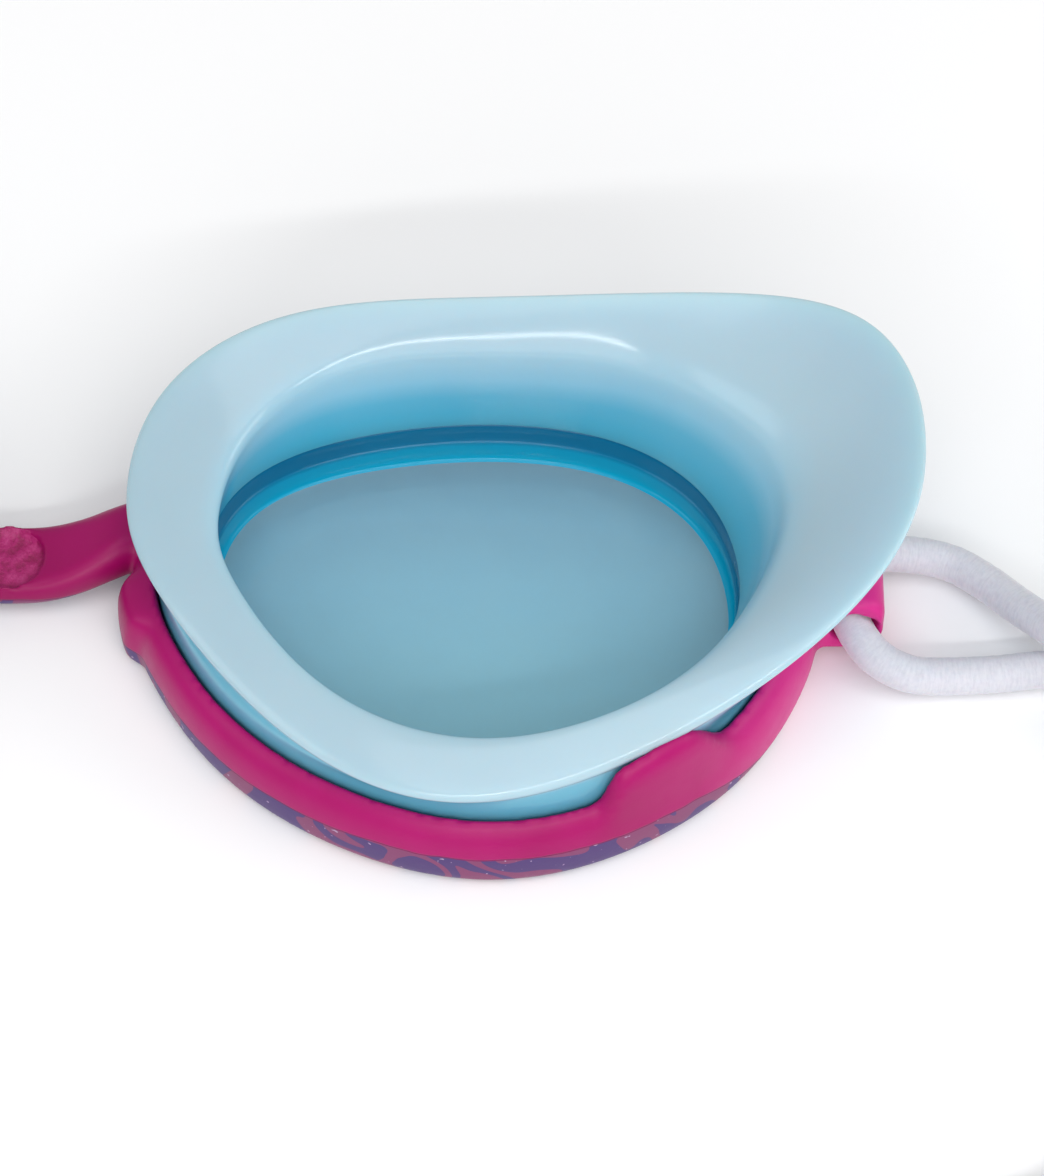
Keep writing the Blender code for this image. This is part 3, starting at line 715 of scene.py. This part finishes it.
def eyelet_mesh(side):
    wide, tall = EYELET_X[1] - EYELET_X[0], EYELET_Z[1] - EYELET_Z[0]
    mid_x, mid_z = sum(EYELET_X) / 2, sum(EYELET_Z) / 2
    sections = []
    for y, trim in ((EYELET_Y[0], 0.5), (EYELET_Y[0] + 0.5, 0.0), (EYELET_Y[1] - 0.5, 0.0),
                    (EYELET_Y[1], 0.5)):
        outline = rounded(wide - trim, tall - trim, 1.8, 8)
        sections.append([(side * (mid_x + a), y, mid_z + b) for a, b in outline])
    sleeve = make("sleeve", *stack(sections))
    cut(sleeve, pocket_tool(side))
    path = [(side * x, y, z) for x, y, z in open_curve(EYELET_TURN, 6)]
    return cut(sleeve, make("bore", *stack(tube(path, EYELET_BORE_R, 28))))


def build_frame():
    parts = [ring_mesh(1), ring_mesh(-1), bridge_mesh(), eyelet_mesh(1), eyelet_mesh(-1)]
    whole = joined("frame_moulding", parts)
    mod = whole.modifiers.new("merge", "REMESH")
    mod.mode = "VOXEL"
    mod.voxel_size = VOXEL * MM
    mod.use_smooth_shade = True
    melt = whole.modifiers.new("melt", "SMOOTH")
    melt.factor = 0.5
    melt.iterations = 5
    settle(whole)
    whole.data.materials.clear()
    whole.data.materials.append(frame_material())
    whole.data.materials.append(gate_material())
    floor_z = (GATE_TOP - GATE_DEPTH + 0.28) * MM
    for poly in whole.data.polygons:
        c = poly.center
        reach = math.hypot(c.x, (c.y - BRIDGE[0][1] * MM) / GATE_SQUEEZE)
        if reach < (GATE_R + 0.1) * MM and abs(c.z - floor_z) < 0.4 * MM:
            poly.material_index = 1
    return whole


# ---------------------------------------------------------------- lens cups and gaskets

LENS_STATIONS = 96
LENS_SECTION = [(2.45, 1.5), (2.4, 1.6), (2.4, 2.8), (2.5, 2.9), (3.9, 2.95), (4.0, 3.1),
                (4.05, 7.0), (4.25, 7.2), (5.75, 7.2), (5.93, 7.0), (6.0, 5.35), (6.03, 5.25),
                (6.17, 5.2), (6.2, 5.1), (6.25, 3.7), (6.33, 3.35), (6.6, 3.2), (7.2, 3.17)]
WALL_ROWS = range(3, 16)


def lens_window(side, z, inset):
    """Flat inner rings that carry a lens face to its middle."""
    rim = at_depth(7.2, z, LENS_STATIONS)
    centre = rim.mean(axis=0)
    return [placed(centre + (rim - centre) * k + [0.0, 0.0, inset * (1 - k * k)], side)
            for k in (0.75, 0.5, 0.25, 0.06)]


def build_lens(side, word, mats):
    under = lens_window(side, 1.5, -0.25)[::-1]
    rings = [placed(at_depth(depth, z, LENS_STATIONS), side) for depth, z in LENS_SECTION]
    over = lens_window(side, 3.17, -0.25)
    first = placed(at_depth(7.2, 1.5, LENS_STATIONS), side)
    lens = make(f"lens_cup_{word}", *stack(under + [first] + rings + over))
    for mat in mats:
        lens.data.materials.append(mat)
    start = len(under) + 1
    for poly in lens.data.polygons:
        row = (min(poly.vertices) // LENS_STATIONS) - start
        if row in WALL_ROWS and len(poly.vertices) == 4:
            poly.material_index = 1
    subdivide(lens, 1)
    return lens


GASKET_STATIONS = 72
# Tints and painted shade by place across the gasket's section, from the skirt's foot over the lip to the
# bowl's foot
GASKET_TINT_AND_PAINTED_SHADE = [(0.00, (0.02, 0.26, 0.41)), (0.13, (0.04, 0.31, 0.46)), (0.22, (0.10, 0.38, 0.52)),
                (0.29, (0.30, 0.495, 0.585)), (0.37, (0.35, 0.49, 0.565)), (0.49, (0.345, 0.49, 0.57)),
                (0.545, (0.31, 0.525, 0.64)), (0.585, (0.22, 0.50, 0.65)), (0.62, (0.06, 0.385, 0.56)),
                (0.655, (0.02, 0.35, 0.53)), (0.69, (0.006, 0.30, 0.47)), (0.74, (0.004, 0.27, 0.44))]


def build_gasket(side, word, mat):
    n = GASKET_STATIONS
    flank = closed_curve(FLANK, n)
    crest = closed_curve(CREST, n)
    lip = closed_curve(LIP, n)
    foot = at_depth(RIM_WALL - 0.02, 7.22, n)
    under = lip + 0.10 * (crest - lip) - [0, 0, 1.3]
    inward = crest - lip
    rings = [at_depth(2.2, 3.3, n), at_depth(2.2, 3.6, n), at_depth(2.2, 6.0, n), at_depth(2.2, 7.4, n),
             0.7 * flank + 0.3 * under - [0, 0, 0.25], 0.3 * flank + 0.7 * under - [0, 0, 0.15], under,
             under + [0, 0, 0.35] - 0.06 * inward,
             lip - [0, 0, 0.3] - 0.01 * inward, lip + 0.05 * inward + [0, 0, 0.05],
             lip + 0.35 * inward + [0, 0, 0.25], lip + 0.7 * inward + [0, 0, 0.30], crest,
             crest + 0.22 * (foot - crest), crest + 0.5 * (foot - crest),
             crest + 0.8 * (foot - crest), foot + [0, 0, 0.15], foot, at_depth(5.7, 7.24, n),
             at_depth(3.9, 7.3, n), at_depth(3.7, 7.4, n), at_depth(3.7, 3.6, n), at_depth(3.7, 3.3, n)]
    sections = swap([placed(r, side) for r in rings])
    gasket = make(f"gasket_skin_{word}", *hoop(sections), mat)
    unwrap_grid(gasket, len(rings), n, True)
    subdivide(gasket, 2)
    return gasket


# ---------------------------------------------------------------- cord lock

LOCK_AT = (-13.0, -35.0)
LOCK_X = (-6.5, 9.5)
LOCK_Y, LOCK_Z, LOCK_ROUND = 9.0, 11.6, 3.0
CAVITY_Y, CAVITY_Z, CAVITY_ROUND = 6.2, 9.4, 2.6
CAVITY_END = 8.1
SLOT_X, SLOT_Z = 3.6, 6.9
RUN, PRESS, WEB = 0.3, 2.5, 1.2
BUTTON_Y, BUTTON_Z, BUTTON_LONG = 8.2, 10.4, 2.3
SPRING_R, SPRING_WIRE_R, SPRING_TURNS = 2.1, 0.25, 5
TIP_R, TIP_BORE_R, TIP_LONG, TIP_DEPTH = 2.2, 1.75, 4.6, 3.0


def along_x(spans, origin):
    ox, oy, oz = origin
    return [[(ox + x, oy + a, oz + b) for a, b in rounded(w, h, r, 6)] for x, w, h, r in spans]


def slot_tool(origin, width, shift):
    outline = rounded(width, SLOT_Z, SLOT_X / 2 - 0.01, 10)
    return make("slot", *stack([[(origin[0] + shift + a, y, origin[2] + b) for a, b in outline]
                                for y in (origin[1] - LOCK_Y, origin[1] + LOCK_Y)]))


def bevelled(obj, width):
    mod = obj.modifiers.new("bevel", "BEVEL")
    mod.width = width * MM
    mod.segments = 3
    mod.limit_method = "ANGLE"
    mod.angle_limit = math.radians(35.0)
    return settle(obj)


def build_lock(body_mat, button_mat, wire_mat):
    origin = (LOCK_AT[0], LOCK_AT[1], LOCK_Z / 2)
    lo, hi = LOCK_X
    ribs = []
    for k in range(4):
        at = hi - 6.0 + 1.3 * k
        ribs += [(at, LOCK_Y, LOCK_Z, LOCK_ROUND), (at + 0.25, LOCK_Y - 0.5, LOCK_Z - 0.5, LOCK_ROUND),
                 (at + 0.65, LOCK_Y - 0.5, LOCK_Z - 0.5, LOCK_ROUND), (at + 0.9, LOCK_Y, LOCK_Z, LOCK_ROUND)]
    mouth = [(lo, LOCK_Y - 0.9, LOCK_Z - 0.9, LOCK_ROUND - 0.4),
             (lo + 0.2, LOCK_Y - 0.3, LOCK_Z - 0.3, LOCK_ROUND),
             (lo + 0.6, LOCK_Y, LOCK_Z, LOCK_ROUND)]
    blind = [(hi - 0.8, LOCK_Y - 0.5, LOCK_Z - 0.5, LOCK_ROUND),
             (hi - 0.3, LOCK_Y - 1.3, LOCK_Z - 1.3, LOCK_ROUND - 0.3),
             (hi, LOCK_Y - 2.4, LOCK_Z - 2.4, LOCK_ROUND - 0.9)]
    spans = mouth + ribs + blind
    body = make("lock_shell", *stack(along_x(spans, origin)))
    cavity = [(lo - 2.0, CAVITY_Y, CAVITY_Z, CAVITY_ROUND), (CAVITY_END, CAVITY_Y, CAVITY_Z, CAVITY_ROUND)]
    cut(body, make("cavity", *stack(along_x(cavity, origin))))
    cut(body, slot_tool(origin, SLOT_X, 0.0))
    bevelled(body, 0.18)
    body.data.materials.append(body_mat)

    wide, tall = CAVITY_Y - 2 * RUN, CAVITY_Z - 2 * RUN
    neck = lo - PRESS - RUN
    head = neck - BUTTON_LONG
    spans = [(head + 0.35, BUTTON_Y - 4.2, BUTTON_Z - 4.2, 1.9),
             (head + 0.1, BUTTON_Y - 2.8, BUTTON_Z - 2.8, 2.3),
             (head, BUTTON_Y - 1.6, BUTTON_Z - 1.6, 2.5), (head + 0.2, BUTTON_Y - 0.8, BUTTON_Z - 0.8, 2.8),
             (head + 0.7, BUTTON_Y - 0.1, BUTTON_Z - 0.1, 3.0), (head + 1.1, BUTTON_Y, BUTTON_Z, 3.0),
             (neck - 0.25, BUTTON_Y, BUTTON_Z, 3.0), (neck, BUTTON_Y - 0.5, BUTTON_Z - 0.5, 2.9),
             (neck + 0.01, wide, tall, CAVITY_ROUND - RUN),
             (SLOT_X / 2 + WEB, wide, tall, CAVITY_ROUND - RUN)]
    plunger = make("lock_button", *stack(along_x(spans, origin)))
    cut(plunger, slot_tool(origin, SLOT_X + PRESS, -PRESS / 2))
    bevelled(plunger, 0.14)
    plunger.data.materials.append(button_mat)

    start = SLOT_X / 2 + WEB + SPRING_WIRE_R + 0.05
    end = CAVITY_END - SPRING_WIRE_R - 0.05
    turns = np.linspace(0.0, SPRING_TURNS, SPRING_TURNS * 36 + 1)
    helix = [(origin[0] + start + (end - start) * t / SPRING_TURNS,
              origin[1] + SPRING_R * math.cos(math.tau * t),
              origin[2] + SPRING_R * math.sin(math.tau * t)) for t in turns]
    spring = make("lock_spring", *stack(tube(helix, SPRING_WIRE_R, 12)), wire_mat, 80.0)
    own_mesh(spring)
    return body, plunger, spring


def build_tip(name, end, before, mat):
    axis = Vector(end) - Vector(before)
    axis.normalize()
    out = Vector((0, 0, 1)).cross(axis).normalized()
    up = axis.cross(out)
    base = Vector(end) - axis * (TIP_DEPTH - 0.3)
    profile = [(TIP_DEPTH, TIP_BORE_R), (0.15, TIP_BORE_R), (0.0, TIP_BORE_R + 0.1), (0.0, TIP_R - 0.2),
               (0.1, TIP_R - 0.05), (0.3, TIP_R), (1.1, TIP_R), (1.25, TIP_R - 0.13), (1.45, TIP_R - 0.13),
               (1.6, TIP_R), (TIP_LONG - 1.2, TIP_R), (TIP_LONG - 0.7, TIP_R - 0.2),
               (TIP_LONG - 0.3, TIP_R - 0.6), (TIP_LONG - 0.08, TIP_R - 1.1), (TIP_LONG, TIP_R - 1.8)]
    angles = np.arange(32) * math.tau / 32
    sections = [[base + axis * s + (out * math.cos(a) + up * math.sin(a)) * r for a in angles]
                for s, r in profile]
    return make(name, *stack(sections), mat, 50.0)


# ---------------------------------------------------------------- putting it together

def stand_in(piece, body, node_name):
    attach(piece, body)
    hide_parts(node_name)
    return piece


build_camera()
build_stage()
build_light()

cord = stand_in(build_cord(), "goggles", "bungee_cord")

shell_mat = gloss_plastic("lock_white_gloss", (0.74, 0.74, 0.77), (0.82, 0.82, 0.84))
button_mat = gloss_plastic("lock_button_pink", (0.44, 0.008, 0.14), (0.54, 0.015, 0.18))
shell, button, wire = build_lock(shell_mat, button_mat, steel_material())
stand_in(shell, "cord_lock", "cord_lock_body")
stand_in(button, "plunger", "cord_lock_plunger")
stand_in(wire, "cord_lock", "cord_lock_spring")
for word, end, before in (("right", CORD_POINTS[0], CORD_POINTS[7]),
                          ("left", CORD_POINTS[-1], CORD_POINTS[-8])):
    tip = build_tip(f"cord_end_{word}", end, before, button_mat)
    stand_in(tip, "goggles", f"cord_tip_{word}")

stand_in(build_frame(), "goggles", "frame")
gasket_mat = gasket_material()
lens_mats = (window_material(), wall_material())
for side, word in ((1, "right"), (-1, "left")):
    stand_in(build_lens(side, word, lens_mats), "goggles", f"lens_{word}")
    stand_in(build_gasket(side, word, gasket_mat), "goggles", f"gasket_{word}")
